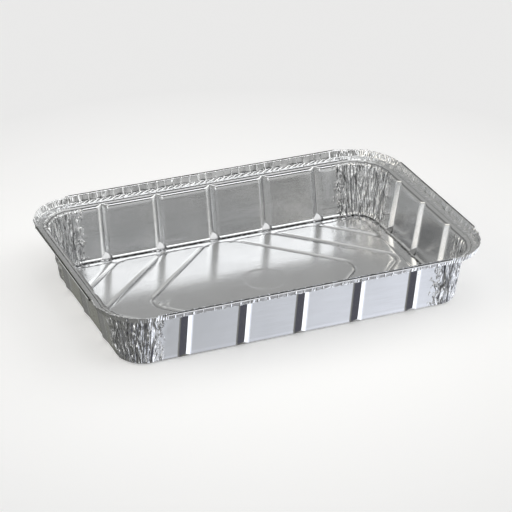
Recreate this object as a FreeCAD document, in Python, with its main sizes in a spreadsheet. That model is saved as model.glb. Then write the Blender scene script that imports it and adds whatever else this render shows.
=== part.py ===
import FreeCAD, Part
import Sketcher
import math
import os

# Pressed aluminium foil tray, one piece, in millimetres.
# Z is up, X runs along the long side and the origin is under the middle of the floor.

doc = FreeCAD.newDocument("foil_tray")
sheet = doc.addObject("Spreadsheet::Sheet", "Sizes")

sizes = [
    # overall reach, measured over the hems
    ("rim_length", 315.0),
    ("rim_width", 218.0),
    ("tray_height", 51.4),
    ("foil", 0.16),
    # outward steps of the end walls, as a share of those of the side walls
    ("end_share", 0.885),
    # wall section, from the floor edge outwards and upwards
    ("floor_corner_radius", 19.4),
    ("foot_run", 2.0),
    ("foot_rise", 2.0),
    ("wall_run", 7.5),
    ("shoulder_margin", 0.7),
    ("shoulder_rise", 1.2),
    ("bead_run", 0.8),
    ("bead_rise", 0.7),
    ("ledge_run", 7.1),
    ("flange_lean", 1.5),
    ("flange_rise", 6.6),
    # upright ribs pressed into the walls
    ("rib_width", 8.8),
    ("rib_depth", 2.7),
    ("side_rib_pitch", 46.3),
    ("end_rib_pitch", 43.2),
    # gathered corners
    ("pleat_count", 12),
    ("pleat_depth", 2.2),
    ("corner_sag", 0.9),
    # rolled hems along the straight stretches of the rim, stopping short of the corners
    ("hem_width", 1.8),
    ("hem_depth", 2.0),
    ("hem_rounding", 0.6),
    ("side_hem_gap", 3.1),
    ("end_hem_gap", 0.8),
    # raised floor panels and the chevron channels between them
    ("panel_rise", 1.0),
    ("panel_slope_run", 1.8),
    ("side_margin", 6.0),
    ("end_margin", 9.0),
    ("panel_corner_radius", 12.0),
    ("chevron_count", 3),
    ("chevron_first", 90.3),
    ("chevron_pitch", 37.0),
    ("chevron_rounding", 14.0),
    ("channel_floor", 0.8),
]

for row, (alias, value) in enumerate(sizes, start=1):
    sheet.set("A%d" % row, alias)
    sheet.set("B%d" % row, str(value))
    sheet.setAlias("B%d" % row, alias)
doc.recompute()


def size(alias):
    return float(sheet.get(alias))


def read(expression):
    """Value of an expression over the sheet."""
    return float(sheet.evalExpression(expression))


# Derived sizes, as expressions over the sheet

shoulder_run = "(Sizes.rib_depth + Sizes.shoulder_margin)"
wall_rise = "(Sizes.tray_height - Sizes.flange_rise - Sizes.shoulder_rise - Sizes.foot_rise)"
spread = ("(Sizes.foot_run + Sizes.wall_run + %s + 2 * Sizes.bead_run + Sizes.ledge_run"
          " + Sizes.flange_lean + Sizes.hem_width / 2)" % shoulder_run)
floor_side = "(Sizes.rim_width / 2 - %s)" % spread
floor_end = "(Sizes.rim_length / 2 - %s * Sizes.end_share)" % spread
# the four corners fan out around fixed upright axes
corner_side = "(%s - Sizes.floor_corner_radius)" % floor_side
corner_end = "(%s - Sizes.floor_corner_radius * Sizes.end_share)" % floor_end


# Wall section

def section():
    """Half widths and heights of the outer skin, from the floor edge to the top of the flange."""
    width = read(floor_side)
    height = 0.0
    wall_ratio = size("wall_run") / read(wall_rise)
    foot_ratio = size("foot_run") / size("foot_rise")
    shoulder_ratio = read(shoulder_run) / size("shoulder_rise")
    levels = [{"width": width, "height": height}]
    width += size("foot_run")
    height += size("foot_rise")
    # a rib's sharp valley meets the foot and the shoulder further out and higher up
    climb = size("rib_depth") / (foot_ratio - wall_ratio)
    levels.append({"width": width, "height": height,
                   "rib": size("rib_depth") + wall_ratio * climb, "climb": climb})
    width += size("wall_run")
    height += read(wall_rise)
    climb = size("rib_depth") / (shoulder_ratio - wall_ratio)
    levels.append({"width": width, "height": height,
                   "rib": size("rib_depth") + wall_ratio * climb, "climb": climb})
    width += read(shoulder_run)
    height += size("shoulder_rise")
    levels.append({"width": width, "height": height})
    levels.append({"width": width + size("bead_run"), "height": height + size("bead_rise")})
    width += 2 * size("bead_run")
    levels.append({"width": width, "height": height})
    width += size("ledge_run")
    levels.append({"width": width, "height": height})
    levels.append({"width": width + size("flange_lean"), "sag": size("corner_sag"),
                   "height": size("tray_height") - size("hem_depth") / 2})
    return levels


# Outlines of the skins

def rib_stations(pitch, half_straight):
    """Places of the three lines of each rib along one wall, with 1 at the valley."""
    width = size("rib_width")
    count = int((2 * half_straight - width) / pitch) + 1
    stations = []
    for number in range(count):
        middle = (number - (count - 1) / 2) * pitch
        stations += [(middle - width / 2, 0), (middle, 1), (middle + width / 2, 0)]
    return stations


def pleat_stations(corner):
    """Angles and depths of the gathered folds of one corner, uneven as in crumpled foil."""
    folds = 2 * int(size("pleat_count"))
    steps = [1 + 0.35 * math.sin(2.3 * fold + 1.7 * corner) for fold in range(folds)]
    stations = []
    angle = 0.0
    for fold in range(1, folds):
        angle += steps[fold - 1] / sum(steps) * math.pi / 2
        side = 1 if fold % 2 else -1
        depth = side * (0.7 + 0.3 * math.sin(3.1 * fold + corner))
        stations.append((angle, depth))
    return stations


def outline(level, inset, lift):
    """One closed line around the tray, counter-clockwise, at a level of the wall section."""
    width = level["width"] - inset
    height = level["height"] + lift
    rib = level.get("rib", 0)
    climb = level.get("climb", 0)
    sag = level.get("sag", 0)
    corner_x = read(corner_end)
    corner_y = read(corner_side)
    pleat = size("pleat_depth") / (size("rim_width") / 2 - corner_y) / 2

    def end_reach(half_width):
        return corner_x + size("end_share") * (half_width - corner_y)

    side = rib_stations(size("side_rib_pitch"), corner_x)
    end = rib_stations(size("end_rib_pitch"), corner_y)
    points = []
    for quarter in range(4):
        turn_x = (1, -1, -1, 1)[quarter]
        turn_y = (1, 1, -1, -1)[quarter]
        fan = [(0.0, 0.0)] + pleat_stations(quarter) + [(math.pi / 2, 0.0)]
        if quarter % 2:
            fan.reverse()
        for angle, depth in fan:
            reach = (1 + pleat * depth) * (width - corner_y)
            drop = sag * (0.6 + 0.4 * depth) if 0 < angle < math.pi / 2 else 0
            points.append((turn_x * end_reach(corner_y + reach * math.cos(angle)),
                           turn_y * (corner_y + reach * math.sin(angle)),
                           height - drop))
        if quarter % 2 == 0:
            for place, valley in side:
                points.append((-turn_y * place, turn_y * (width + valley * rib),
                               height + valley * climb))
        else:
            for place, valley in end:
                points.append((turn_x * end_reach(width + valley * rib), turn_x * place,
                               height + valley * climb))
    return [FreeCAD.Vector(*point) for point in points]


def band(lower, upper):
    """Faces between two outlines: a flat one for each stretch, or two triangles where it twists."""
    flatness = 1e-6
    faces = []
    count = len(lower)
    for here in range(count):
        there = (here + 1) % count
        corners = [lower[here], lower[there], upper[there], upper[here]]
        edge_a = corners[1] - corners[0]
        edge_b = corners[2] - corners[0]
        edge_c = corners[3] - corners[0]
        if abs(edge_a.cross(edge_b).dot(edge_c)) < flatness * edge_b.Length ** 3:
            pieces = [corners]
        else:
            pieces = [corners[:3], [corners[0], corners[2], corners[3]]]
        for piece in pieces:
            faces.append(Part.Face(Part.makePolygon(piece + piece[:1])))
    return faces


def pressed_shell():
    """The pressed foil skin as one closed solid: floor, walls, ribs, corners, ledge and flange."""
    levels = section()
    faces = []
    rims = []
    for inset in (0.0, size("foil")):
        rings = [outline(level, inset, inset) for level in levels]
        faces.append(Part.Face(Part.makePolygon(rings[0] + rings[0][:1])))
        for lower, upper in zip(rings, rings[1:]):
            faces += band(lower, upper)
        rims.append(rings[-1])
    faces += band(rims[0], rims[1])
    skin = Part.Shell(faces)
    skin.sewShape()
    solid = Part.makeSolid(skin)
    if solid.Volume < 0:
        solid.reverse()
    return solid


shell = doc.addObject("Part::Feature", "PressedShell")
shell.Shape = pressed_shell()


# Sketch helpers

def origin_plane(body, role):
    return [feature for feature in body.Origin.OriginFeatures if feature.Role == role][0]


def sketch_on(body, name, role):
    sketch = body.newObject("Sketcher::SketchObject", name)
    sketch.AttachmentSupport = (origin_plane(body, role), [""])
    sketch.MapMode = "FlatFace"
    return sketch


def tie(sketch, constraint, expression):
    number = sketch.addConstraint(constraint)
    sketch.setExpression("Constraints[%d]" % number, expression)


def closed_outline(sketch, corners, arcs=None):
    """Closed outline through corners, each an (across, along) pair of expressions.

    The stretch after a corner is straight, or an arc where arcs gives its nose and radius.
    """
    arcs = arcs or {}
    spots = [FreeCAD.Vector(read(across), read(along), 0) for across, along in corners]
    first = sketch.GeometryCount
    count = len(spots)
    for here in range(count):
        ends = (spots[here], spots[(here + 1) % count])
        if here in arcs:
            across, along = arcs[here]["nose"]
            nose = FreeCAD.Vector(read(across), read(along), 0)
            sketch.addGeometry(Part.Arc(ends[0], nose, ends[1]), False)
        else:
            sketch.addGeometry(Part.LineSegment(*ends), False)

    def end_at(item, spot):
        starts_there = sketch.getPoint(first + item, 1).distanceToPoint(spot) < 1e-6
        return 1 if starts_there else 2

    for here, spot in enumerate(spots):
        before = (here - 1) % count
        joined = (first + before, end_at(before, spot), first + here, end_at(here, spot))
        sketch.addConstraint(Sketcher.Constraint("Coincident", *joined))
        held = joined[:2] if here in arcs else joined[2:]
        across, along = corners[here]
        tie(sketch, Sketcher.Constraint("DistanceX", -1, 1, *held, spot.x), across)
        tie(sketch, Sketcher.Constraint("DistanceY", -1, 1, *held, spot.y), along)
    for here, arc in arcs.items():
        radius = read(arc["radius"])
        tie(sketch, Sketcher.Constraint("Radius", first + here, radius), arc["radius"])


def padded_body(name, role, draw, length, taper=None):
    """Body with one sketch, drawn on an origin plane, and one pad of it."""
    body = doc.addObject("PartDesign::Body", name)
    body.AllowCompound = True
    sketch = sketch_on(body, name + "Outline", role)
    draw(sketch)
    pad = body.newObject("PartDesign::Pad", name + "Pad")
    pad.Profile = sketch
    pad.setExpression("Length", length)
    if taper:
        pad.setExpression("TaperAngle", taper)
    else:
        pad.SideType = "Symmetric"
    doc.recompute()
    return body


# Raised floor panels, parted by channels in three nested chevrons at each end

half_side = "(%s - Sizes.side_margin)" % floor_side
half_end = "(%s - Sizes.end_margin)" % floor_end
slope_angle = "atan(Sizes.panel_slope_run / Sizes.panel_rise)"


def draw_panel_area(sketch):
    """Rectangle with rounded corners, drawn counter-clockwise from the right-hand side."""
    corners = []
    arcs = {}
    for turn_x, turn_y in (("", ""), ("-", ""), ("-", "-"), ("", "-")):
        side_stop = turn_x + "(%s - Sizes.panel_corner_radius)" % half_end
        end_stop = turn_y + "(%s - Sizes.panel_corner_radius)" % half_side
        at_end = (turn_x + half_end, end_stop)
        at_side = (side_stop, turn_y + half_side)
        back = "Sizes.panel_corner_radius * (1 - 1 / sqrt(2))"
        arcs[len(corners)] = {"radius": "Sizes.panel_corner_radius",
                              "nose": ("%s(%s - %s)" % (turn_x, half_end, back),
                                       "%s(%s - %s)" % (turn_y, half_side, back))}
        corners += [at_end, at_side] if turn_x == turn_y else [at_side, at_end]
    closed_outline(sketch, corners, arcs)


def draw_channels(sketch):
    for chevron in range(int(size("chevron_count"))):
        tip = "(Sizes.chevron_first + %d * Sizes.chevron_pitch)" % chevron
        draw_chevron(sketch, tip, "")
        draw_chevron(sketch, tip, "-")


def draw_chevron(sketch, tip, turn):
    """Floor of one channel: its arms run at 45 degrees to a rounded tip on the middle line."""
    arm_reach = floor_side
    faces = []
    for side in ("+", "-"):
        radius = "(Sizes.chevron_rounding %s Sizes.channel_floor / 2)" % side
        centre = "(%s - sqrt(2) * Sizes.chevron_rounding)" % tip
        faces.append({"radius": radius,
                      "nose": ("%s(%s + %s)" % (turn, centre, radius), "0"),
                      "bend": "%s(%s + %s / sqrt(2))" % (turn, centre, radius),
                      "half": "%s / sqrt(2)" % radius,
                      "end": "%s(%s %s Sizes.channel_floor / sqrt(2) - %s)"
                             % (turn, tip, side, arm_reach)})
    outer, inner = faces
    closed_outline(sketch,
                   [(outer["end"], arm_reach), (outer["bend"], outer["half"]),
                    (outer["bend"], "-" + outer["half"]), (outer["end"], "-" + arm_reach),
                    (inner["end"], "-" + arm_reach), (inner["bend"], "-" + inner["half"]),
                    (inner["bend"], inner["half"]), (inner["end"], arm_reach)],
                   {1: outer, 5: inner})


panel_area = padded_body("PanelArea", "XY_Plane", draw_panel_area,
                         "Sizes.panel_rise", "-" + slope_angle)
channels = padded_body("Channels", "XY_Plane", draw_channels, "Sizes.panel_rise", slope_angle)

panels = doc.addObject("Part::Cut", "FloorPanels")
panels.Base = panel_area
panels.Tool = channels
doc.recompute()


# Rolled hems on the four straight stretches of the rim

def draw_hem(reach):
    """Section of a hem, hanging from the top of the rim at its outer edge."""
    def draw(sketch):
        inner = "(%s - Sizes.hem_width)" % reach
        low = "(Sizes.tray_height - Sizes.hem_depth)"
        closed_outline(sketch, [(inner, low), (reach, low), (reach, "Sizes.tray_height"),
                                (inner, "Sizes.tray_height")])
    return draw


def hem_pair(name, role, reach, length, mirror_role, axis):
    """Two hems facing each other across the tray, with their long edges rounded."""
    body = padded_body(name, role, draw_hem(reach), length)
    pad = body.Tip
    long_edges = []
    for number, edge in enumerate(pad.Shape.Edges, start=1):
        run = edge.Vertexes[-1].Point - edge.Vertexes[0].Point
        if abs(getattr(run, axis)) > size("hem_width") * 2:
            long_edges.append("Edge%d" % number)
    fillet = body.newObject("PartDesign::Fillet", name + "Rounding")
    fillet.Base = (pad, long_edges)
    fillet.setExpression("Radius", "Sizes.hem_rounding")
    mirrored = body.newObject("PartDesign::Mirrored", name + "Pair")
    mirrored.Originals = [pad, fillet]
    mirrored.MirrorPlane = (origin_plane(body, mirror_role), [""])
    body.Tip = mirrored
    doc.recompute()
    return body


side_hems = hem_pair("SideHems", "YZ_Plane", "Sizes.rim_width / 2",
                     "2 * (%s - Sizes.side_hem_gap)" % corner_end, "XZ_Plane", "x")
end_hems = hem_pair("EndHems", "XZ_Plane", "Sizes.rim_length / 2",
                    "2 * (%s - Sizes.end_hem_gap)" % corner_side, "YZ_Plane", "y")


# The whole tray: panels are pressed up from below, so each is hollow underneath

panel_tops = doc.addObject("App::Link", "PanelTops")
panel_tops.LinkedObject = panels
panel_tops.setExpression("Placement.Base.z", "Sizes.foil")

raised = doc.addObject("Part::Fuse", "RaisedFloor")
raised.Base = shell
raised.Tool = panel_tops
embossed = doc.addObject("Part::Cut", "EmbossedShell")
embossed.Base = raised
embossed.Tool = panels
tray = doc.addObject("Part::MultiFuse", "Tray")
tray.Shapes = [embossed, side_hems, end_hems]
tray.Label = "foil_tray"
doc.recompute()


# Checks and files

for part in doc.Objects:
    if "Invalid" in part.State or "Error" in part.State:
        raise RuntimeError("%s failed: %s" % (part.Name, part.State))
solid = tray.Shape
if solid.isNull() or not solid.isValid() or len(solid.Solids) != 1:
    raise RuntimeError("the tray is not one sound solid")

os.makedirs("parts", exist_ok=True)
solid.exportStep("parts/%s.step" % tray.Label)
print("tray: volume %.0f mm3, faces %d, box %s" % (solid.Volume, len(solid.Faces), solid.BoundBox))
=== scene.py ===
import math
import bmesh
import bpy
from mathutils import Matrix, Vector
from mathutils.geometry import delaunay_2d_cdt


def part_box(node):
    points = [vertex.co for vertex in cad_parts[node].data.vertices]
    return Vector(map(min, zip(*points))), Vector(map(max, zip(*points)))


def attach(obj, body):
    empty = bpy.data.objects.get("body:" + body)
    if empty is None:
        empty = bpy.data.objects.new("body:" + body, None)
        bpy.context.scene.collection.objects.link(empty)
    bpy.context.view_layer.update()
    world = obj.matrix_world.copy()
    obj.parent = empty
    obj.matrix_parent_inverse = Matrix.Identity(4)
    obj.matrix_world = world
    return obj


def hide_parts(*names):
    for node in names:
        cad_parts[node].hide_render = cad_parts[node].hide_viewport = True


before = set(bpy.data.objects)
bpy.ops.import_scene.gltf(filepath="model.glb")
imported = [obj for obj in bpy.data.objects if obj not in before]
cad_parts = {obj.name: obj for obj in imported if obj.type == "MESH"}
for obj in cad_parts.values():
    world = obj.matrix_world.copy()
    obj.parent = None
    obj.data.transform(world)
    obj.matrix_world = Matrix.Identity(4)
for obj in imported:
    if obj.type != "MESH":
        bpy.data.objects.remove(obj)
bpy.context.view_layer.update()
mm = 0.001


# The pressed tray, sizes in millimetres

tray = {
    "node": "foil_tray",
    "body": "root",
    "slot": "foil",
    "gauge": 0.14,
    "endShare": 0.885,  # outward steps of the end walls against those of the side walls
    "floorCorner": 19.4,
    "footRun": 2.0,
    "footRise": 2.0,
    "wallRun": 7.5,
    "shoulderMargin": 0.7,
    "shoulderRise": 1.2,
    "beadRun": 0.8,
    "beadRise": 0.7,
    "rimRun": 9.5,  # from the bead to the outside
    "flangeLean": 2.3,
    "flangeRise": 6.6,
    "skinRun": 65.0,  # along the section
    "ribWidth": 8.8,
    "ribDepth": 2.7,
    "ribFlank": 3.4,
    "sideRibPitch": 46.3,
    "endRibPitch": 43.2,
    "crease": 0.35,  # half width of a pressed edge
    "wallColumn": 3.8,
    "rimColumn": 1.8,
    "cornerColumns": 52,
    "gatherFade": 17.0,
    "floorLip": 1.3,  # the floor turns up gently before the foot
    "lipRun": 0.35,
    "lipRise": 0.62,
    "rows": (0, 0, 0, 12, 1, 0, 0, 3, 4),  # margin, lip, foot, wall, shoulder, bead, bead, ledge, flange
    "rounds": (0.3, 0.3, 0.45, 1.4, 0.3, 0.3, 0.3, 0.8),
    "bendShare": 0.45,  # of a stretch that a rounding may take
    "runOutStops": (0.35, 0.7),
    "fineFrom": 21,  # rows above this one follow the finer columns
}

# Painted shade on the skin: a dark line painted above each panel, along the bottom of each rib and on its
# foot, and a painted dark reflection on one edge of each foot
shades = {
    "lipRow": 24,
    "lip": 0.6,
    "lipBelow": 0.3,  # of the rib's depth
    "wallRow": 10,
    "valley": 0.85,
    "valleyAbove": 0.99,
    "footRows": (6, 7, 8),
    "foot": 0.4,
    "footAbove": 0.05,
    "footEdge": 0.9,
    "edgeBelow": 0.5,
}

hem = {
    "width": 1.75,
    "gap": 0.45,
    "depth": 2.0,
    "rounding": 0.52,
    "sideGap": 3.1,
    "endGap": 0.8,
    "step": 2.0,
    "waver": 0.22,
    "swayScale": 90.0,
    "dropScale": 140.0,
    "roundSteps": 3,
    "darkAbove": 0.2,  # share of the depth above the roll's middle where the painted shade on its top starts
    "seed": 4,
}

_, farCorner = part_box(tray["node"])
rimEnd, rimSide, rimTop = Vector(farCorner) / mm
shoulderRun = tray["ribDepth"] + tray["shoulderMargin"]
spread = (tray["footRun"] + tray["wallRun"] + shoulderRun + 2 * tray["beadRun"]
          + tray["rimRun"])
floorSide = rimSide - spread
floorEnd = rimEnd - spread * tray["endShare"]
cornerSide = floorSide - tray["floorCorner"]  # the corners fan out around these upright axes
cornerEnd = floorEnd - tray["floorCorner"] * tray["endShare"]
ledgeHeight = rimTop - tray["flangeRise"]


# Columns run up the wall, one for each stop round the rim

def ribCentres(pitch, half):
    count = int((2 * half - tray["ribWidth"]) / pitch) + 1
    return [(number - (count - 1) / 2) * pitch for number in range(count)]


def ribShape(distance):
    # straight flanks that run out in a soft edge
    flank = tray["ribFlank"]
    edge = 1 - 2 * flank / tray["ribWidth"]
    if distance < flank:
        return 1 - 2 * distance / tray["ribWidth"]
    runOut = edge * tray["ribWidth"]
    return edge * max(0.0, 1 - (distance - flank) / runOut) ** 2


def straightStops(pitch, half):
    flank = tray["ribFlank"]
    runOut = tray["ribWidth"] - 2 * flank
    lines = (tray["crease"], flank / 2, flank, *(flank + runOut * share for share in tray["runOutStops"]),
             flank + runOut, flank + runOut + tray["crease"])
    lines = [-line for line in reversed(lines)] + [0, *lines]
    stops = [centre + line for centre in ribCentres(pitch, half) for line in lines]
    stops = [-half] + stops + [half]
    filled = []
    for here, there in zip(stops, stops[1:]):
        pieces = max(1, round((there - here) / tray["wallColumn"]))
        filled += [here + (there - here) * step / pieces for step in range(pieces)]
    return filled + [half]


def straightColumn(kind, turn, stop, pitch, half):
    centre = min(ribCentres(pitch, half), key=lambda spot: abs(stop - spot))
    return {"kind": kind, "turn": turn, "stop": stop, "rib": ribShape(abs(stop - centre)),
            "before": stop < centre,  # which flank of the rib it is on
            "gather": max(0.0, 1 - (half - abs(stop)) / tray["gatherFade"]),
            "hemmed": 1.0}


def cornerColumn(turn, stop):
    return {"kind": "corner", "turn": turn, "stop": stop, "rib": 0.0, "before": False,
            "gather": 1.0, "hemmed": 0.0}


def roundTheRim():
    # counter-clockwise from the end of the right-hand wall
    columns = []
    count = tray["cornerColumns"]
    for quarter in range(4):
        turn = ((1, 1), (-1, 1), (-1, -1), (1, -1))[quarter]
        fan = [math.pi / 2 * step / count for step in range(1, count)]
        if quarter % 2:
            columns += [cornerColumn(turn, stop) for stop in reversed(fan)]
            stops = straightStops(tray["endRibPitch"], cornerSide)
            columns += [straightColumn("end", turn, stop, tray["endRibPitch"], cornerSide)
                        for stop in stops]
        else:
            columns += [cornerColumn(turn, stop) for stop in fan]
            stops = straightStops(tray["sideRibPitch"], cornerEnd)
            columns += [straightColumn("side", turn, stop, tray["sideRibPitch"], cornerEnd)
                        for stop in stops]
    return columns


def finerColumns(columns):
    # the rim wrinkles more finely than the walls, so it gets columns in between
    finer = []
    starts = []
    for here, there in zip(columns, columns[1:] + columns[:1]):
        starts.append(len(finer))
        finer.append(here)
        if here["kind"] != there["kind"] or here["kind"] == "corner":
            continue
        pieces = round((there["stop"] - here["stop"]) / tray["rimColumn"])
        for step in range(1, pieces):
            share = step / pieces
            between = dict(here)
            for key in ("stop", "rib", "gather"):
                between[key] = here[key] + (there[key] - here[key]) * share
            finer.append(between)
    return finer, starts


def onWall(column, width, height):
    turnX, turnY = column["turn"]
    stop = column["stop"]
    if column["kind"] == "side":
        return Vector((-turnY * stop, turnY * width, height))
    if column["kind"] == "end":
        reach = cornerEnd + tray["endShare"] * (width - cornerSide)
        return Vector((turnX * reach, turnX * stop, height))
    reach = width - cornerSide
    return Vector((turnX * (cornerEnd + tray["endShare"] * reach * math.cos(stop)),
                   turnY * (cornerSide + reach * math.sin(stop)), height))


# The section from just inside the floor edge to the top of the flange

def section(rib):
    wallRise = ledgeHeight - tray["shoulderRise"] - tray["footRise"]
    lean = tray["wallRun"] / wallRise
    depth = tray["ribDepth"] * rib
    footClimb = depth / (tray["footRun"] / tray["footRise"] - lean)
    shoulderClimb = depth / (shoulderRun / tray["shoulderRise"] - lean)
    width = floorSide + tray["footRun"]
    points = [(floorSide - 2 * tray["floorLip"], 0.0), (floorSide - tray["floorLip"], 0.0),
              (floorSide + tray["lipRun"], tray["lipRise"]),
              (width + depth + lean * footClimb, tray["footRise"] + footClimb)]
    width += tray["wallRun"]
    points.append((width + depth + lean * shoulderClimb,
                   ledgeHeight - tray["shoulderRise"] + shoulderClimb))
    width += shoulderRun
    points.append((width, ledgeHeight))
    points.append((width + tray["beadRun"], ledgeHeight + tray["beadRise"]))
    width += 2 * tray["beadRun"]
    points.append((width, ledgeHeight))
    flangeTop = rimSide - hem["width"]
    points.append((flangeTop - tray["flangeLean"], ledgeHeight))
    points.append((flangeTop, rimTop - tray["gauge"]))
    return points


def rowsAlong(points, counts, rounds):
    # three rows round each bend, and evenly spaced ones between
    rows = [points[0]]
    before = points[0]
    for number, count in enumerate(counts):
        bend = points[number + 1]
        last = number + 1 == len(points) - 1
        cut = 0 if last else rounds[number]
        run = math.dist(points[number], bend)
        stop = toward(bend, points[number], min(cut, run * tray["bendShare"]))
        for step in range(1, count + 1):
            rows.append(toward(before, stop, math.dist(before, stop) * step / (count + 1)))
        rows.append(stop)
        if last:
            break
        onward = points[number + 2]
        before = toward(bend, onward, min(cut, math.dist(bend, onward) * tray["bendShare"]))
        rows.append(tuple((a + 2 * b + c) / 4 for a, b, c in zip(stop, bend, before)))
        rows.append(before)
    return rows


def toward(here, there, distance):
    share = distance / math.dist(here, there)
    return tuple(a + (b - a) * share for a, b in zip(here, there))


# Floor pattern: raised panels parted by chevron channels

floor = {
    "panelRise": 1.1,
    "slopeRun": 1.4,
    "disc": {"x": 10.0, "y": 4.0, "radius": 16.8, "depth": 0.12, "slope": 1.6},
    "sideMargin": 6.2,
    "endMargin": 9.2,
    "areaCorner": 12.0,
    "panelCorner": 5.0,
    "chevrons": 3,
    "chevronFirst": 90.3,
    "chevronPitch": 37.0,
    "tipRadius": 14.0,
    "channelHalf": 0.35,
    "coarse": 5.4,
    "nearCrease": (2.6, 1.4),
    "slopeMiddle": 1.0,
    "merge": 1e-5,
    # small dents and bumps near the left chevron
    "marks": ({"x": -80.5, "y": -3.0, "turn": 0.3, "long": 5.5, "wide": 1.3, "rise": 0.35},
              {"x": -76.0, "y": -7.5, "turn": 0.8, "long": 3.2, "wide": 1.2, "rise": -0.3},
              {"x": -73.5, "y": -2.5, "turn": 1.2, "long": 2.6, "wide": 1.1, "rise": 0.3}),
    # painted shade in the channels and along the edge of the panel area, and how far it reaches
    "shade": 0.55,
    "shadeReach": 1.0,
}


def softMin(a, b, reach):
    blend = max(reach - abs(a - b), 0.0) / reach
    return min(a, b) - blend * blend * reach / 4


def edgeDistance(x, y):
    # how far a place is inside the panel area, and from the nearest channel
    x = abs(x)
    y = abs(y)
    outX = x - (floorEnd - floor["endMargin"]) + floor["areaCorner"]
    outY = y - (floorSide - floor["sideMargin"]) + floor["areaCorner"]
    border = floor["areaCorner"] - math.hypot(max(outX, 0), max(outY, 0)) - min(max(outX, outY), 0)
    channel = math.inf
    for chevron in range(floor["chevrons"]):
        tip = floor["chevronFirst"] + chevron * floor["chevronPitch"]
        across = x - tip + math.sqrt(2) * floor["tipRadius"]
        turned = math.hypot(across, y) if across > y else (across + y) / math.sqrt(2)
        channel = min(channel, abs(turned - floor["tipRadius"]))
    return border, channel - floor["channelHalf"]


def panelHeight(x, y):
    inside = softMin(*edgeDistance(x, y), floor["panelCorner"])
    share = min(max(inside / floor["slopeRun"], 0.0), 1.0)
    disc = floor["disc"]
    past = (math.hypot(x - disc["x"], y - disc["y"]) - disc["radius"]) / disc["slope"]
    dent = disc["depth"] * min(max(0.5 - past, 0.0), 1.0)
    for mark in floor["marks"]:
        offX, offY = x - mark["x"], y - mark["y"]
        lengthwise = (offX * math.cos(mark["turn"]) + offY * math.sin(mark["turn"])) / mark["long"]
        sideways = (offY * math.cos(mark["turn"]) - offX * math.sin(mark["turn"])) / mark["wide"]
        dent -= mark["rise"] * math.exp(-lengthwise ** 2 - sideways ** 2)
    return floor["panelRise"] * share * share * (3 - 2 * share) - dent


def floorMesh(ring):
    # triangles between the floor edge and a lattice that lies along the channels
    edgePoints = [Vector((point.x, point.y)) for point in ring]
    count = len(edgePoints)
    edges = [(here, (here + 1) % count) for here in range(count)]
    step = floor["coarse"]
    reach = int((floorSide + floorEnd) / step) + 1
    lattice = []
    for u in range(-reach, reach + 1):
        for v in range(-reach, reach + 1):
            x = (u + v) * step / 2
            y = (u - v) * step / 2
            border = min(floorEnd - abs(x), floorSide - abs(y))
            inCorner = math.hypot(max(abs(x) - cornerEnd, 0) / tray["endShare"],
                                  max(abs(y) - cornerSide, 0))
            if border > step / 2 and inCorner < tray["floorCorner"] - step / 2:
                lattice.append(Vector((x, y)))
    points, _, faces, *_ = delaunay_2d_cdt(edgePoints + lattice, edges, [], 1, floor["merge"])
    return points, faces


# Putting the skin together

def pressSkin():
    columns = roundTheRim()
    finer, starts = finerColumns(columns)
    places = []
    facts = []  # along, across, gather, hemmed and painted shade for each point
    faces = []

    # distance along the rim, shared by everything above and below it
    along = 0.0
    before = onWall(finer[-1], rimSide, 0)
    for column in finer:
        here = onWall(column, rimSide, 0)
        along += (here - before).length
        column["along"] = along
        before = here
        column["rows"] = rowsAlong(section(column["rib"]), tray["rows"], tray["rounds"])
        column["across"] = [tray["skinRun"]]  # counted down from the top of the flange
        for lower, upper in zip(column["rows"][::-1], column["rows"][-2::-1]):
            column["across"].insert(0, column["across"][0] - math.dist(lower, upper))

    def shadeAt(column, index):
        # painted shade: how dark each point of the skin is painted
        rib = column["rib"]
        if index == shades["lipRow"] and rib < shades["lipBelow"]:
            return shades["lip"]
        if shades["wallRow"] <= index < shades["lipRow"] and rib > shades["valleyAbove"]:
            return shades["valley"]
        if index in shades["footRows"] and rib > shades["footAbove"]:
            # painted shade on each rib's foot, with a painted dark reflection on its one flank
            edge = column["before"] and rib < shades["edgeBelow"]
            return shades["footEdge" if edge else "foot"]
        return 0.0

    def addRing(chosen, index):
        first = len(places)
        for column in chosen:
            places.append(onWall(column, *column["rows"][index]))
            facts.append((column["along"], column["across"][index], column["gather"],
                          column["hemmed"], shadeAt(column, index)))
        return range(first, len(places))

    def addBand(rings):
        count = len(rings[0])
        for lower, upper in zip(rings, rings[1:]):
            for here in range(count):
                there = (here + 1) % count
                faces.append((lower[here], lower[there], upper[there], upper[here]))

    lowRings = [addRing(columns, index) for index in range(tray["fineFrom"])]
    highRings = [addRing(finer, index) for index in range(tray["fineFrom"], len(finer[0]["rows"]))]
    addBand(lowRings)
    addBand(highRings)
    for here in range(len(columns)):
        there = (here + 1) % len(columns)
        stop = starts[there] if there else len(finer)
        upper = [highRings[0][number % len(finer)] for number in range(starts[here], stop + 1)]
        faces.append((lowRings[-1][here], lowRings[-1][there], *reversed(upper)))

    # the floor joins the lowest ring, point for point
    floorPoints, floorFaces = floorMesh([places[index] for index in lowRings[0]])
    ringCount = len(columns)
    first = len(places)
    for point in floorPoints[ringCount:]:
        places.append(Vector((point.x, point.y, 0)))
        facts.append((0.0, 0.0, 0.0, 0.0, 0.0))
    for face in floorFaces:
        corners = [lowRings[0][number] if number < ringCount else first + number - ringCount
                   for number in face]
        faces.append(tuple(reversed(corners)))
    return places, facts, faces


def buildShell():
    places, facts, faces = pressSkin()
    mesh = bpy.data.meshes.new("pressedSkin")
    mesh.from_pydata([place * mm for place in places], [], faces)
    for number, name in enumerate(("along", "across", "gather", "hemmed", "paintedShade")):
        attribute = mesh.attributes.new(name, "FLOAT", "POINT")
        attribute.data.foreach_set("value", [fact[number] for fact in facts])
    refineFloor(mesh)
    shell = bpy.data.objects.new("pressedShell", mesh)
    bpy.context.collection.objects.link(shell)
    return shell


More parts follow.
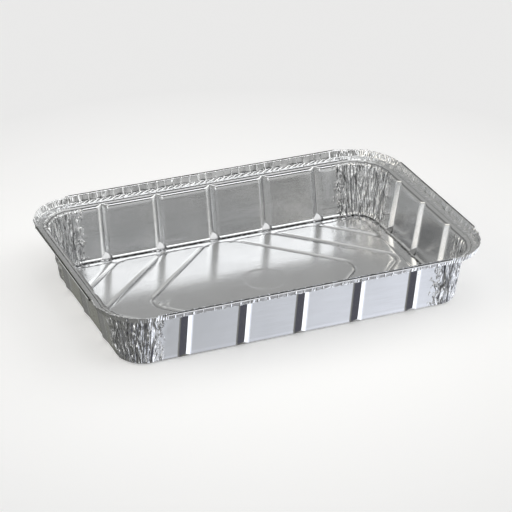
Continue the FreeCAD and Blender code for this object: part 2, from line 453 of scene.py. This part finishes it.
def refineFloor(mesh):
    # finer triangles where a panel edge crosses, then the panels are raised
    skin = bmesh.new()
    skin.from_mesh(mesh)
    disc = floor["disc"]
    for reach in floor["nearCrease"]:
        split = []
        for edge in skin.edges:
            if max(vertex.co.z for vertex in edge.verts) > 0 or edge.is_boundary:
                continue
            middle = (edge.verts[0].co + edge.verts[1].co) / 2 / mm
            border, channel = edgeDistance(middle.x, middle.y)
            fromSlope = min(abs(border - floor["slopeMiddle"]), abs(channel - floor["slopeMiddle"]))
            fromDisc = abs(math.hypot(middle.x - disc["x"], middle.y - disc["y"]) - disc["radius"])
            fromMark = min(math.hypot(middle.x - mark["x"], middle.y - mark["y"]) - mark["long"]
                           for mark in floor["marks"])
            if border > -reach and min(fromSlope, fromDisc, fromMark) < reach:
                split.append(edge)
        bmesh.ops.subdivide_edges(skin, edges=split, cuts=1, use_grid_fill=True)
        bmesh.ops.triangulate(skin, faces=[face for face in skin.faces
                                           if max(vertex.co.z for vertex in face.verts) <= 0])
    # painted shade in the channels and along the edge of the panel area
    paintedShade = skin.verts.layers.float["paintedShade"]
    for vertex in skin.verts:
        if vertex.co.z <= 0:
            x, y = vertex.co.x / mm, vertex.co.y / mm
            vertex.co.z = panelHeight(x, y) * mm
            fromEdge = abs(softMin(*edgeDistance(x, y), floor["panelCorner"]) + floor["channelHalf"])
            vertex[paintedShade] = floor["shade"] * max(0.0, 1 - fromEdge / floor["shadeReach"])
    skin.to_mesh(mesh)
    skin.free()


# Node helpers

def addNode(tree, kind, inputs=None, **settings):
    node = tree.nodes.new(kind)
    for name, value in settings.items():
        setattr(node, name, value)
    for key, value in (inputs or {}).items():
        if isinstance(value, bpy.types.NodeSocket):
            tree.links.new(value, node.inputs[key])
        else:
            node.inputs[key].default_value = value
    return node


def calc(tree, operation, *values):
    return addNode(tree, "ShaderNodeMath", dict(enumerate(values)), operation=operation).outputs[0]


def product(tree, value, *others):
    for other in others:
        value = calc(tree, "MULTIPLY", value, other)
    return value


def ranged(tree, value, fromLow, fromHigh, toLow, toHigh):
    limits = {1: fromLow, 2: fromHigh, 3: toLow, 4: toHigh}
    return addNode(tree, "ShaderNodeMapRange", {0: value, **limits}).outputs[0]


def vectorOf(tree, x, y, z):
    node = addNode(tree, "ShaderNodeCombineXYZ", {0: x, 1: y, 2: z})
    return node.outputs[0]


def noiseAt(tree, place, scale, detail=1.0):
    node = addNode(tree, "ShaderNodeTexNoise", {"Vector": place, "Scale": scale, "Detail": detail})
    return node.outputs[0]


def onSkin(tree, along, across, stretch, layer=0.0):
    # a place for textures that keep to the skin however it's bent
    return vectorOf(tree, calc(tree, "MULTIPLY", along, stretch[0]),
                    calc(tree, "MULTIPLY", across, stretch[1]), layer)


def cellsAt(tree, place, **settings):
    node = addNode(tree, "ShaderNodeTexVoronoi", {"Vector": place, "Scale": 1.0}, **settings)
    return node.outputs["Distance"]


def mixedColour(tree, share, first, second):
    node = addNode(tree, "ShaderNodeMix", {0: share, 6: first, 7: (*second, 1)}, data_type="RGBA")
    return node.outputs[2]


def geometryTree(name, sizes):
    tree = bpy.data.node_groups.new(name, "GeometryNodeTree")
    tree.interface.new_socket("Geometry", in_out="INPUT", socket_type="NodeSocketGeometry")
    for label in sizes:
        tree.interface.new_socket(label, in_out="INPUT", socket_type="NodeSocketFloat")
    tree.interface.new_socket("Geometry", in_out="OUTPUT", socket_type="NodeSocketGeometry")
    return tree, addNode(tree, "NodeGroupInput"), addNode(tree, "NodeGroupOutput")


def closeTree(tree, output, geometry, material):
    realized = addNode(tree, "GeometryNodeRealizeInstances", {0: geometry})
    coated = addNode(tree, "GeometryNodeSetMaterial",
                     {"Geometry": realized.outputs[0], "Material": material})
    tree.links.new(coated.outputs[0], output.inputs[0])


def runTree(piece, tree, sizes):
    modifier = piece.modifiers.new(tree.name, "NODES")
    modifier.node_group = tree
    for item in tree.interface.items_tree:
        if item.in_out == "INPUT" and item.name in sizes:
            modifier[item.identifier] = float(sizes[item.name])
    graph = bpy.context.evaluated_depsgraph_get()
    mesh = bpy.data.meshes.new_from_object(piece.evaluated_get(graph))
    piece.modifiers.remove(modifier)
    piece.data = mesh


# Crumpling: gathered folds in the corners and fine wrinkles along the rim

crumple = {
    "foldWidth": 2.9,
    "foldDepth": 0.45,
    "creaseWidth": 1.25,
    "creaseDepth": 0.5,
    "foldDrift": 14.0,
    "facetDepth": 1.0,
    "ledgeWrinkle": 0.75,
    "flangeWrinkle": 0.6,
    "wrinklePitch": 6.4,
    "billow": 1.5,
    "ledgeEnd": 58.1,
    "sag": 1.3,
    "seed": 3.0,
}

# Where the crumpling comes and goes. Two numbers stretch a texture along the rim and up the skin,
# four are the values a mask starts and ends at and what it gives there
crumpleField = {
    "fold": (0.16, 0.045),
    "foldScale": 2.3,
    "creaseScale": 3.7,
    "uneven": (0.3, 0.7, 0.2, 1.2),
    "tall": (0.0, 30.0, 0.55, 1.0),
    "facet": (0.42, 0.13),
    "facetMiddle": 0.45,
    "gatherPower": 3.0,
    "aboveEdge": (1.2, 5.0, 0.0, 1.0),
    "rim": (0.09, 0.0),
    "rimLayer": 7.0,
    "rimDrift": 5.0,
    "ledgeScale": 5.1,
    "ledgeUneven": (0.42, 0.62, 0.0, 1.0),
    "nearFlange": (-5.5, -1.5, 0.0, 1.0),
    "onFlange": (0.0, 1.5, 0.0, 1.0),
    "slant": 1.1,
    "slantWidth": 1.1,
    "uprightShare": 0.8,
    "uprightWidth": 0.9,
    "flangeScale": 7.7,
    "flangeUneven": (0.35, 0.65, -1.0, 1.0),
    "billow": (0.2, 0.04),
    "flangeUp": (0.0, 6.0, 0.0, 1.0),
    "raggedScale": 6.0,
    "ragged": (0.3, 0.7, 0.3, 1.2),
}


def crumpleTree(material):
    tree, given, output = geometryTree("crumpleFoil", crumple)
    field = crumpleField

    def size(name):
        return given.outputs[name]

    def fact(name):
        node = addNode(tree, "GeometryNodeInputNamedAttribute", {"Name": name}, data_type="FLOAT")
        return node.outputs[0]

    along = fact("along")
    across = fact("across")
    seed = size("seed")

    # upright folds that wander sideways and differ in depth
    foldPlace = onSkin(tree, along, across, field["fold"], seed)
    drift = calc(tree, "SUBTRACT", noiseAt(tree, foldPlace, 1.0, 2.0), 0.5)

    def foldField(width, depth, unevenScale):
        wander = calc(tree, "MULTIPLY", drift, calc(tree, "DIVIDE", size("foldDrift"), width))
        phase = calc(tree, "ADD", calc(tree, "DIVIDE", along, width), wander)
        zigzag = calc(tree, "MULTIPLY_ADD", calc(tree, "PINGPONG", phase, 1.0), 2.0, -1.0)
        uneven = ranged(tree, noiseAt(tree, foldPlace, unevenScale), *field["uneven"])
        return product(tree, zigzag, uneven, depth)

    folds = calc(tree, "ADD", foldField(size("foldWidth"), size("foldDepth"), field["foldScale"]),
                 foldField(size("creaseWidth"), size("creaseDepth"), field["creaseScale"]))
    folds = calc(tree, "MULTIPLY", folds, ranged(tree, across, *field["tall"]))

    # slanting facets between the folds
    cells = cellsAt(tree, onSkin(tree, along, across, field["facet"], seed))
    facets = product(tree, calc(tree, "SUBTRACT", cells, field["facetMiddle"]), size("facetDepth"))
    gathered = product(tree, calc(tree, "ADD", folds, facets),
                       calc(tree, "POWER", fact("gather"), field["gatherPower"]),
                       ranged(tree, across, *field["aboveEdge"]))

    # sparse sharp wrinkles: slanting ones on the ledge near the flange, upright ones on it
    rimPlace = onSkin(tree, along, across, field["rim"], calc(tree, "ADD", seed, field["rimLayer"]))
    rimDrift = calc(tree, "MULTIPLY", noiseAt(tree, rimPlace, 1.0, 2.0), field["rimDrift"])

    def sharpWrinkle(place, pitch, width):
        phase = calc(tree, "ADD", calc(tree, "DIVIDE", place, pitch), rimDrift)
        start = calc(tree, "SUBTRACT", 0.5, calc(tree, "DIVIDE", width, pitch))
        return ranged(tree, calc(tree, "PINGPONG", phase, 0.5), start, 0.5, 0.0, 1.0)

    pastLedge = calc(tree, "SUBTRACT", across, size("ledgeEnd"))
    onFlange = ranged(tree, pastLedge, *field["onFlange"])
    onLedge = calc(tree, "SUBTRACT", ranged(tree, pastLedge, *field["nearFlange"]), onFlange)
    slanted = calc(tree, "ADD", along, calc(tree, "MULTIPLY", across, field["slant"]))
    slanting = sharpWrinkle(slanted, size("wrinklePitch"), field["slantWidth"])
    uneven = ranged(tree, noiseAt(tree, rimPlace, field["ledgeScale"]), *field["ledgeUneven"])
    lift = product(tree, slanting, uneven, onLedge, size("ledgeWrinkle"))
    upright = sharpWrinkle(along, calc(tree, "MULTIPLY", size("wrinklePitch"), field["uprightShare"]),
                           field["uprightWidth"])
    uneven = ranged(tree, noiseAt(tree, rimPlace, field["flangeScale"]), *field["flangeUneven"])
    swell = noiseAt(tree, onSkin(tree, along, across, field["billow"], seed), 1.0)
    billow = calc(tree, "MULTIPLY", calc(tree, "SUBTRACT", swell, 0.5), size("billow"))
    push = calc(tree, "MULTIPLY_ADD", calc(tree, "MULTIPLY", upright, uneven),
                size("flangeWrinkle"), billow)
    push = calc(tree, "MULTIPLY", push, onFlange)

    # the corners have no hem: their flange sags and its top is uneven
    ragged = ranged(tree, noiseAt(tree, rimPlace, field["raggedScale"], 2.0), *field["ragged"])
    sag = product(tree, size("sag"), ragged, ranged(tree, pastLedge, *field["flangeUp"]),
                  calc(tree, "SUBTRACT", 1.0, fact("hemmed")))
    lift = calc(tree, "SUBTRACT", lift, sag)
    outward = calc(tree, "ADD", gathered, push)

    # outward in plan, from the tray's rounded outline
    place = addNode(tree, "GeometryNodeInputPosition")
    parts = addNode(tree, "ShaderNodeSeparateXYZ", {0: place.outputs[0]})
    plan = []
    for axis, corner in ((0, cornerEnd * mm), (1, cornerSide * mm)):
        past = calc(tree, "MAXIMUM", calc(tree, "SUBTRACT",
                                          calc(tree, "ABSOLUTE", parts.outputs[axis]), corner), 0.0)
        plan.append(calc(tree, "MULTIPLY", past, calc(tree, "SIGN", parts.outputs[axis])))
    flat = addNode(tree, "ShaderNodeVectorMath", {0: vectorOf(tree, plan[0], plan[1], 0.0)},
                   operation="NORMALIZE")
    moved = addNode(tree, "ShaderNodeVectorMath",
                    {0: flat.outputs[0], "Scale": calc(tree, "MULTIPLY", outward, mm)},
                    operation="SCALE")
    raised = vectorOf(tree, 0.0, 0.0, calc(tree, "MULTIPLY", lift, mm))
    offset = addNode(tree, "ShaderNodeVectorMath", {0: moved.outputs[0], 1: raised},
                     operation="ADD")
    pressed = addNode(tree, "GeometryNodeSetPosition",
                      {"Geometry": given.outputs[0], "Offset": offset.outputs[0]})
    closeTree(tree, output, pressed.outputs[0], material)
    return tree


# Rolled hems: a flattened hollow roll along each straight stretch of the rim

def hemTree(material):
    tree, given, output = geometryTree("rollHem", ["halfLength", "width", "depth", "rounding",
                                                   "step", "waver", "seed"])

    def size(name):
        return calc(tree, "MULTIPLY", given.outputs[name], mm)

    start = vectorOf(tree, calc(tree, "MULTIPLY", size("halfLength"), -1.0), 0.0, 0.0)
    finish = vectorOf(tree, size("halfLength"), 0.0, 0.0)
    line = addNode(tree, "GeometryNodeCurvePrimitiveLine", {"Start": start, "End": finish})
    path = addNode(tree, "GeometryNodeResampleCurve",
                   {"Curve": line.outputs[0], "Length": size("step")}, mode="LENGTH")
    place = addNode(tree, "GeometryNodeInputPosition")
    parts = addNode(tree, "ShaderNodeSeparateXYZ", {0: place.outputs[0]})
    spot = vectorOf(tree, parts.outputs[0], given.outputs["seed"], 0.0)
    sway = calc(tree, "MULTIPLY", calc(tree, "SUBTRACT", noiseAt(tree, spot, hem["swayScale"], 2.0), 0.5),
                size("waver"))
    drop = calc(tree, "MULTIPLY", noiseAt(tree, spot, hem["dropScale"], 2.0), size("waver"))
    swayed = addNode(tree, "GeometryNodeSetPosition",
                     {"Geometry": path.outputs[0],
                      "Offset": vectorOf(tree, 0.0, sway, calc(tree, "MULTIPLY", drop, -1.0))})
    outline = addNode(tree, "GeometryNodeCurvePrimitiveQuadrilateral",
                      {"Width": size("width"), "Height": size("depth")})
    rounded = addNode(tree, "GeometryNodeFilletCurve",
                      {"Curve": outline.outputs[0], "Radius": size("rounding"),
                       "Count": hem["roundSteps"]},
                      mode="POLY")
    roll = addNode(tree, "GeometryNodeCurveToMesh",
                   {"Curve": swayed.outputs[0], "Profile Curve": rounded.outputs[0]})
    # the top of the roll is painted dark, as painted shade
    darkFrom = calc(tree, "MULTIPLY", size("depth"), hem["darkAbove"])
    isTop = calc(tree, "GREATER_THAN", parts.outputs[2], darkFrom)
    marked = addNode(tree, "GeometryNodeStoreNamedAttribute",
                     {"Geometry": roll.outputs[0], "Name": "paintedShade", "Value": isTop},
                     data_type="FLOAT", domain="POINT")
    closeTree(tree, output, marked.outputs[0], material)
    return tree


def buildHems(material):
    tree = hemTree(material)
    hems = []
    for turn in range(4):
        alongEnd = turn % 2
        half = cornerSide - hem["endGap"] if alongEnd else cornerEnd - hem["sideGap"]
        reach = (rimEnd if alongEnd else rimSide) - (hem["width"] - hem["gap"]) / 2
        mesh = bpy.data.meshes.new("hemRoll")
        roll = bpy.data.objects.new("hemRoll", mesh)
        bpy.context.collection.objects.link(roll)
        sizes = dict(hem, halfLength=half, seed=hem["seed"] + turn)
        sizes["width"] -= hem["gap"] + hem["waver"]
        sizes["depth"] -= hem["waver"] + tray["gauge"]
        runTree(roll, tree, sizes)
        # the roll hangs down by its waver, so it's set a little high
        lift = Vector((0, reach * mm, (rimTop - hem["depth"] / 2 + hem["waver"] / 4) * mm))
        roll.data.transform(Matrix.Rotation(-turn * math.pi / 2, 4, "Z")
                            @ Matrix.Translation(lift))
        hems.append(roll)
    return hems


def joinPieces(main, others):
    joined = bmesh.new()
    joined.from_mesh(main.data)
    for other in others:
        joined.from_mesh(other.data)
    joined.to_mesh(main.data)
    joined.free()
    for other in others:
        bpy.data.objects.remove(other)


# Bright rolled foil

foil = {
    "colour": (0.90, 0.905, 0.91),
    "dull": (0.80, 0.81, 0.82),
    # near black, which all painted shade mixes towards
    "shadeColour": (0.015, 0.015, 0.015),
    "grainScale": 900.0,
    "grainStretch": (0.04, 1.0, 1.0),
    "rough": (0.3, 0.7, 0.13, 0.22),
    "grain": 0.000005,
    "waveScale": 28.0,
    "wave": 0.0001,
    "creaseShadeLines": ((1.9, 1.5), (52.7, 0.5)),  # where a line of painted shade lies up the skin, and its half width
    "creaseCore": 0.4,
    "breakScale": 420.0,
    "broken": (0.35, 0.6, 0.2, 1.0),
    # painted shade inside a nick in the front hem and inside the open end of the left one
    "holeShades": ({"place": (-0.021, -0.1085, 0.0455), "reach": (0.0025, 0.004, 0.0008)},
              {"place": (-0.1568, -0.0643, 0.0500), "reach": (0.0016, 0.0018, 0.0015)}),
    "holeShadeFade": (0.6, 1.0, 0.85, 0.0),
}

# Pleats, facets and rim wrinkles too fine for the mesh, in the same kinds of numbers
crinkle = {
    "broad": (0.1, 0.045),
    "drift": 4.0,
    "pleatWidth": 3.8,
    "pleatDepth": 1.1,
    "unevenScale": 2.9,
    "uneven": (0.3, 0.7, 0.25, 1.0),
    "skew": 1.2,
    "facet": (0.27, 0.055),
    "facetDepth": 2.0,
    "wall": (46.0, 49.0, 1.0, 0.0),
    "raggedScale": 4.0,
    "ragged": 1.5,
    "spreading": (1.25, 1.5, 0.0, 1.0),
    # painted shade in the pleat valleys and along the facet edges, in patches
    "valley": (0.02, 0.22, 0.62, 0.0),
    "cranny": (0.02, 0.1, 0.64, 0.0),
    "patchScale": 0.7,
    "patchy": (0.4, 0.6, 0.2, 1.0),
    "flange": (57.5, 59.5, 0.0, 1.0),
    "rimDrift": 0.25,
    "stripePitch": 2.0,
    "stripeHeight": 0.5,
    "ledge": 56.8,
    "nearLedge": (1.0, 2.2, 1.0, 0.0),
    "slant": 1.3,
    "slantPitch": 5.2,
    "slantFold": (0.1, 0.5, 0.0, 1.0),
    "uprightPitch": 7.28,
    "uprightFold": (0.4, 0.5, 0.0, 0.4),
    "fadeRun": 12.0,
    "endShare": 0.15,
}


def crinkleGroup():
    # Height is in metres, Shade is painted shade in the folds and along the facet edges of the gathered
    # corners
    tree = bpy.data.node_groups.new("gatheredFoil", "ShaderNodeTree")
    for name in ("Height", "Shade"):
        tree.interface.new_socket(name, in_out="OUTPUT", socket_type="NodeSocketFloat")
    output = addNode(tree, "NodeGroupOutput")
    along, across, gather = (
        addNode(tree, "ShaderNodeAttribute", attribute_name=name).outputs["Fac"]
        for name in ("along", "across", "gather"))

    # pleats that wander, and facets slanting with them
    broad = onSkin(tree, along, across, crinkle["broad"])
    drift = calc(tree, "MULTIPLY", noiseAt(tree, broad, 1.0, 2.0), crinkle["drift"])
    phase = calc(tree, "ADD", calc(tree, "DIVIDE", along, crinkle["pleatWidth"]), drift)
    fold = calc(tree, "PINGPONG", phase, 1.0)
    uneven = ranged(tree, noiseAt(tree, broad, crinkle["unevenScale"]), *crinkle["uneven"])
    pleats = product(tree, fold, crinkle["pleatDepth"], uneven)
    skewed = calc(tree, "ADD", along, calc(tree, "MULTIPLY", drift, crinkle["skew"]))
    spot = onSkin(tree, skewed, across, crinkle["facet"])
    facets = calc(tree, "MULTIPLY", cellsAt(tree, spot), crinkle["facetDepth"])

    # they spread raggedly from the corners, up to the shoulder
    ragged = calc(tree, "MULTIPLY_ADD", noiseAt(tree, broad, crinkle["raggedScale"], 2.0),
                  crinkle["ragged"], gather)
    gathered = calc(tree, "MULTIPLY", ranged(tree, ragged, *crinkle["spreading"]),
                    ranged(tree, across, *crinkle["wall"]))
    # painted shade, dark in the pleat valleys and along the facet edges, in patches
    valley = calc(tree, "MULTIPLY", ranged(tree, fold, *crinkle["valley"]), uneven)
    cranny = ranged(tree, cellsAt(tree, spot, feature="DISTANCE_TO_EDGE"), *crinkle["cranny"])
    patchy = ranged(tree, noiseAt(tree, spot, crinkle["patchScale"]), *crinkle["patchy"])
    shade = calc(tree, "MAXIMUM", valley, calc(tree, "MULTIPLY", cranny, patchy))
    tree.links.new(calc(tree, "MULTIPLY", shade, gathered), output.inputs["Shade"])
    height = calc(tree, "MULTIPLY", calc(tree, "ADD", pleats, facets), gathered)

    # fine stripes on the flange of the corners
    onFlange = ranged(tree, across, *crinkle["flange"])
    rimDrift = calc(tree, "MULTIPLY", drift, crinkle["rimDrift"])

    def zigzag(distance, pitch):
        phase = calc(tree, "ADD", calc(tree, "DIVIDE", distance, pitch), rimDrift)
        return calc(tree, "PINGPONG", phase, 0.5)

    stripes = product(tree, zigzag(along, crinkle["stripePitch"]), onFlange, crinkle["stripeHeight"], gather)
    height = calc(tree, "ADD", height, stripes)

    # slanting wrinkles on the ledge and upright ones above it, faint on the end walls
    slanted = calc(tree, "ADD", along, calc(tree, "MULTIPLY", across, crinkle["slant"]))
    slanting = ranged(tree, zigzag(slanted, crinkle["slantPitch"]), *crinkle["slantFold"])
    fromLedge = calc(tree, "ABSOLUTE", calc(tree, "SUBTRACT", across, crinkle["ledge"]))
    slanting = calc(tree, "MULTIPLY", slanting, ranged(tree, fromLedge, *crinkle["nearLedge"]))
    upright = ranged(tree, zigzag(along, crinkle["uprightPitch"]), *crinkle["uprightFold"])
    wrinkles = calc(tree, "ADD", slanting, calc(tree, "MULTIPLY", upright, onFlange))
    place = addNode(tree, "ShaderNodeTexCoord").outputs["Object"]
    fromMiddle = calc(tree, "ABSOLUTE", addNode(tree, "ShaderNodeSeparateXYZ", {0: place}).outputs[0])
    onSide = ranged(tree, fromMiddle, (cornerEnd - crinkle["fadeRun"]) * mm, cornerEnd * mm,
                    1.0, crinkle["endShare"])
    height = calc(tree, "ADD", height, calc(tree, "MULTIPLY", wrinkles, onSide))
    tree.links.new(calc(tree, "MULTIPLY", height, mm), output.inputs["Height"])
    return tree


def foilMaterial():
    material = bpy.data.materials.new("brightFoil")
    material.use_nodes = True
    tree = material.node_tree
    shader = tree.nodes["Principled BSDF"]
    shader.inputs["Metallic"].default_value = 1.0
    place = addNode(tree, "ShaderNodeTexCoord").outputs["Object"]
    stretched = addNode(tree, "ShaderNodeMapping", {"Vector": place, "Scale": foil["grainStretch"]})
    streaks = noiseAt(tree, stretched.outputs[0], foil["grainScale"], 2.0)
    clouds = noiseAt(tree, place, foil["waveScale"], 2.0)
    crinkles = tree.nodes.new("ShaderNodeGroup")
    crinkles.node_tree = crinkleGroup()

    # everything painted dark as painted shade: the skin's lines and rib feet, the floor's channels, the hem
    # tops, the folds of the corners, a nick and a hem's open end, and lines along the skin
    paintedShade = addNode(tree, "ShaderNodeAttribute", attribute_name="paintedShade").outputs["Fac"]
    dark = calc(tree, "MAXIMUM", paintedShade, crinkles.outputs["Shade"])
    for holeShade in foil["holeShades"]:
        offset = addNode(tree, "ShaderNodeVectorMath", {0: place, 1: holeShade["place"]},
                         operation="SUBTRACT")
        scaled = addNode(tree, "ShaderNodeVectorMath", {0: offset.outputs[0], 1: holeShade["reach"]},
                         operation="DIVIDE")
        away = addNode(tree, "ShaderNodeVectorMath", {0: scaled.outputs[0]}, operation="LENGTH")
        dark = calc(tree, "MAXIMUM", dark, ranged(tree, away.outputs["Value"], *foil["holeShadeFade"]))
    across = addNode(tree, "ShaderNodeAttribute", attribute_name="across").outputs["Fac"]
    broken = ranged(tree, noiseAt(tree, place, foil["breakScale"], 2.0), *foil["broken"])
    # painted shade lines along the skin, broken into pieces by noise
    for middle, half in foil["creaseShadeLines"]:
        away = calc(tree, "ABSOLUTE", calc(tree, "SUBTRACT", across, middle))
        line = ranged(tree, away, half * foil["creaseCore"], half, 1.0, 0.0)
        dark = calc(tree, "MAXIMUM", dark, calc(tree, "MULTIPLY", line, broken))
    bright = mixedColour(tree, clouds, (*foil["dull"], 1), foil["colour"])
    tree.links.new(mixedColour(tree, dark, bright, foil["shadeColour"]), shader.inputs["Base Color"])
    tree.links.new(ranged(tree, streaks, *foil["rough"]), shader.inputs["Roughness"])
    height = calc(tree, "ADD", calc(tree, "MULTIPLY", streaks, foil["grain"]),
                  calc(tree, "MULTIPLY", clouds, foil["wave"]))
    height = calc(tree, "ADD", height, crinkles.outputs["Height"])
    bump = addNode(tree, "ShaderNodeBump", {"Height": height, "Distance": 1.0, "Strength": 1.0})
    tree.links.new(bump.outputs[0], shader.inputs["Normal"])
    return material


# Studio: pale ground, a world that gives metal something to reflect, and the camera

studio = {
    "floorReach": 6.0,
    "pale": 0.815,
    "around": (0.38, 0.38, 0.37),
    "floorFade": (0.14, 0.4),  # from the contact shadow out to the plain ground
    "floorColour": (0.9, 0.35),
    "floorLift": (0.295, 0.545),
    # focal is counted in pixels of a picture as wide as frame
    "view": {"azimuth": -22.54, "elevation": 26.97, "distance": 1.7343,
             "aside": 0.00069, "above": 0.02267, "focal": 2210.5},
    "frame": 512,
    "sensor": 36.0,
}


def paleFloor():
    mesh = bpy.data.meshes.new("paleFloor")
    reach = studio["floorReach"]
    mesh.from_pydata([(-reach, -reach, 0), (reach, -reach, 0), (reach, reach, 0), (-reach, reach, 0)],
                     [], [(0, 1, 2, 3)])
    ground = bpy.data.objects.new("paleFloor", mesh)
    bpy.context.collection.objects.link(ground)
    material = bpy.data.materials.new("paleFloor")
    material.use_nodes = True
    tree = material.node_tree
    shader = tree.nodes["Principled BSDF"]
    place = addNode(tree, "ShaderNodeTexCoord").outputs["Object"]
    away = addNode(tree, "ShaderNodeVectorMath", {0: place}, operation="LENGTH").outputs["Value"]

    def fading(ends):
        return ranged(tree, away, *studio["floorFade"], *ends)

    tree.links.new(fading(studio["floorColour"]), shader.inputs["Base Color"])
    shader.inputs["Roughness"].default_value = 1.0
    shader.inputs["Specular IOR Level"].default_value = 0.0
    seen = addNode(tree, "ShaderNodeLightPath").outputs["Is Camera Ray"]
    shader.inputs["Emission Color"].default_value = (1, 1, 1, 1)
    tree.links.new(calc(tree, "MULTIPLY", seen, fading(studio["floorLift"])),
                   shader.inputs["Emission Strength"])
    mesh.materials.append(material)
    ground.visible_glossy = False


# Soft boxes and darker screens seen by the metal, each painted over the ones before it:
# where it stands, its half angle, how soft its edge is, and its colour
surroundings = [
    {"azimuth": -80, "elevation": -60, "size": 60, "soft": 25, "colour": (0.20, 0.20, 0.19)},
    {"azimuth": 170, "elevation": -30, "size": 30, "soft": 10, "colour": (0.19, 0.19, 0.165)},
    {"azimuth": 76, "elevation": -42, "size": 33, "soft": 8, "colour": (0.93, 0.96, 1.05)},
    {"azimuth": 160, "elevation": 12, "size": 30, "soft": 16, "colour": (0.35, 0.35, 0.345)},
    {"azimuth": 146, "elevation": 10, "size": 12, "soft": 6, "colour": (0.25, 0.245, 0.235)},
    {"azimuth": 140, "elevation": 60, "size": 22, "soft": 8, "colour": (0.75, 0.75, 0.74)},
    {"azimuth": -48, "elevation": 50, "size": 14, "soft": 5, "colour": (0.47, 0.465, 0.45)},
    {"azimuth": -40, "elevation": 31, "size": 10, "soft": 4, "colour": (0.10, 0.10, 0.10)},
    {"azimuth": 35, "elevation": 54, "size": 25, "soft": 4, "colour": (1.6, 1.6, 1.6)},
    {"azimuth": 17, "elevation": 28, "size": 16, "soft": 5, "colour": (0.04, 0.04, 0.04)},
    {"azimuth": 20, "elevation": 4, "size": 12, "soft": 5, "colour": (0.55, 0.55, 0.54)},
    {"azimuth": 152, "elevation": -8, "size": 11, "soft": 4, "colour": (0.03, 0.03, 0.03)},
    {"azimuth": 21, "elevation": -24, "size": 9, "soft": 3, "colour": (1.35, 1.35, 1.38)},
    {"azimuth": -157, "elevation": -25, "size": 8, "soft": 3, "colour": (1.1, 1.1, 1.08)},
    {"azimuth": 45, "elevation": -70, "size": 13, "soft": 5, "colour": (0.32, 0.32, 0.33)},
    {"azimuth": -125, "elevation": 32, "size": 14, "soft": 6, "colour": (0.66, 0.65, 0.62)},
    {"azimuth": 88, "elevation": 26, "size": 26, "soft": 10, "colour": (1.35, 1.35, 1.33)},
    {"azimuth": 80, "elevation": 71, "size": 13, "soft": 4, "colour": (0.04, 0.04, 0.04)},
    {"azimuth": 104, "elevation": -42, "size": 24, "soft": 8, "colour": (1.5, 1.52, 1.6)},
    {"azimuth": -94, "elevation": 34, "size": 20, "soft": 8, "colour": (1.65, 1.58, 1.46)},
    {"azimuth": -66, "elevation": 12, "size": 14, "soft": 3, "colour": (1.35, 1.35, 1.35)},
    {"azimuth": -64, "elevation": 68, "size": 13, "soft": 3, "colour": (0.03, 0.03, 0.03)},
    {"azimuth": -30, "elevation": 77, "size": 15, "soft": 4, "colour": (1.6, 1.6, 1.6)},
    {"azimuth": -14, "elevation": 10, "size": 11, "soft": 3, "colour": (1.5, 1.5, 1.5)},
    {"azimuth": -12, "elevation": -22, "size": 10, "soft": 3, "colour": (0.03, 0.03, 0.03)},
    {"azimuth": -38, "elevation": -14, "size": 10, "soft": 3, "colour": (1.7, 1.7, 1.7)},
    {"azimuth": -62, "elevation": -26, "size": 8, "soft": 3, "colour": (0.03, 0.03, 0.03)},
    {"azimuth": -88, "elevation": -30, "size": 10, "soft": 3, "colour": (1.6, 1.6, 1.6)},
    {"azimuth": -34, "elevation": -47, "size": 14, "soft": 4, "colour": (0.09, 0.09, 0.11)},
]


def studioWorld():
    world = bpy.data.worlds.new("studio")
    bpy.context.scene.world = world
    world.use_nodes = True
    tree = world.node_tree
    toward = addNode(tree, "ShaderNodeTexCoord").outputs["Generated"]
    colour = (*studio["around"], 1)
    for screen in surroundings:
        azimuth = math.radians(screen["azimuth"])
        elevation = math.radians(screen["elevation"])
        axis = (math.sin(azimuth) * math.cos(elevation), -math.cos(azimuth) * math.cos(elevation),
                math.sin(elevation))
        facing = addNode(tree, "ShaderNodeVectorMath", {0: toward, 1: axis},
                         operation="DOT_PRODUCT")
        inside = addNode(tree, "ShaderNodeMapRange",
                         {0: facing.outputs["Value"],
                          1: math.cos(math.radians(screen["size"] + screen["soft"])),
                          2: math.cos(math.radians(screen["size"] - screen["soft"])),
                          3: 0.0, 4: 1.0}, interpolation_type="SMOOTHSTEP")
        colour = mixedColour(tree, inside.outputs[0], colour, screen["colour"])
    seen = addNode(tree, "ShaderNodeLightPath").outputs["Is Camera Ray"]
    shown = mixedColour(tree, seen, colour, (studio["pale"],) * 3)
    tree.links.new(shown, tree.nodes["Background"].inputs["Color"])


def studioCamera():
    view = studio["view"]
    azimuth = math.radians(view["azimuth"])
    elevation = math.radians(view["elevation"])
    back = Vector((math.sin(azimuth) * math.cos(elevation),
                   -math.cos(azimuth) * math.cos(elevation), math.sin(elevation)))
    right = Vector((math.cos(azimuth), math.sin(azimuth), 0))
    up = back.cross(right)
    data = bpy.data.cameras.new("camera")
    data.sensor_width = studio["sensor"]
    data.lens = view["focal"] * studio["sensor"] / studio["frame"]
    camera = bpy.data.objects.new("camera", data)
    bpy.context.collection.objects.link(camera)
    axes = Matrix((right, up, back)).transposed().to_4x4()
    place = back * view["distance"] + right * view["aside"] + up * view["above"]
    camera.matrix_world = Matrix.Translation(place) @ axes
    bpy.context.scene.camera = camera
    bpy.context.scene.view_settings.view_transform = "Standard"


# The tray

material = foilMaterial()
shell = buildShell()
print("pressed skin:", len(shell.data.polygons), "faces")
runTree(shell, crumpleTree(material), crumple)
print("crumpled")
joinPieces(shell, buildHems(material))
print("hems rolled")
thickness = shell.modifiers.new("gauge", "SOLIDIFY")
thickness.thickness = tray["gauge"] * mm
thickness.offset = -1.0
graph = bpy.context.evaluated_depsgraph_get()
solidMesh = bpy.data.meshes.new_from_object(shell.evaluated_get(graph))
shell.modifiers.clear()
shell.data = solidMesh
for polygon in solidMesh.polygons:
    polygon.use_smooth = True
shell.name = "foilTray"
print("foil:", sum(len(polygon.vertices) - 2 for polygon in solidMesh.polygons), "triangles")
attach(shell, tray["body"])
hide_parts(tray["node"])

paleFloor()
studioWorld()
studioCamera()
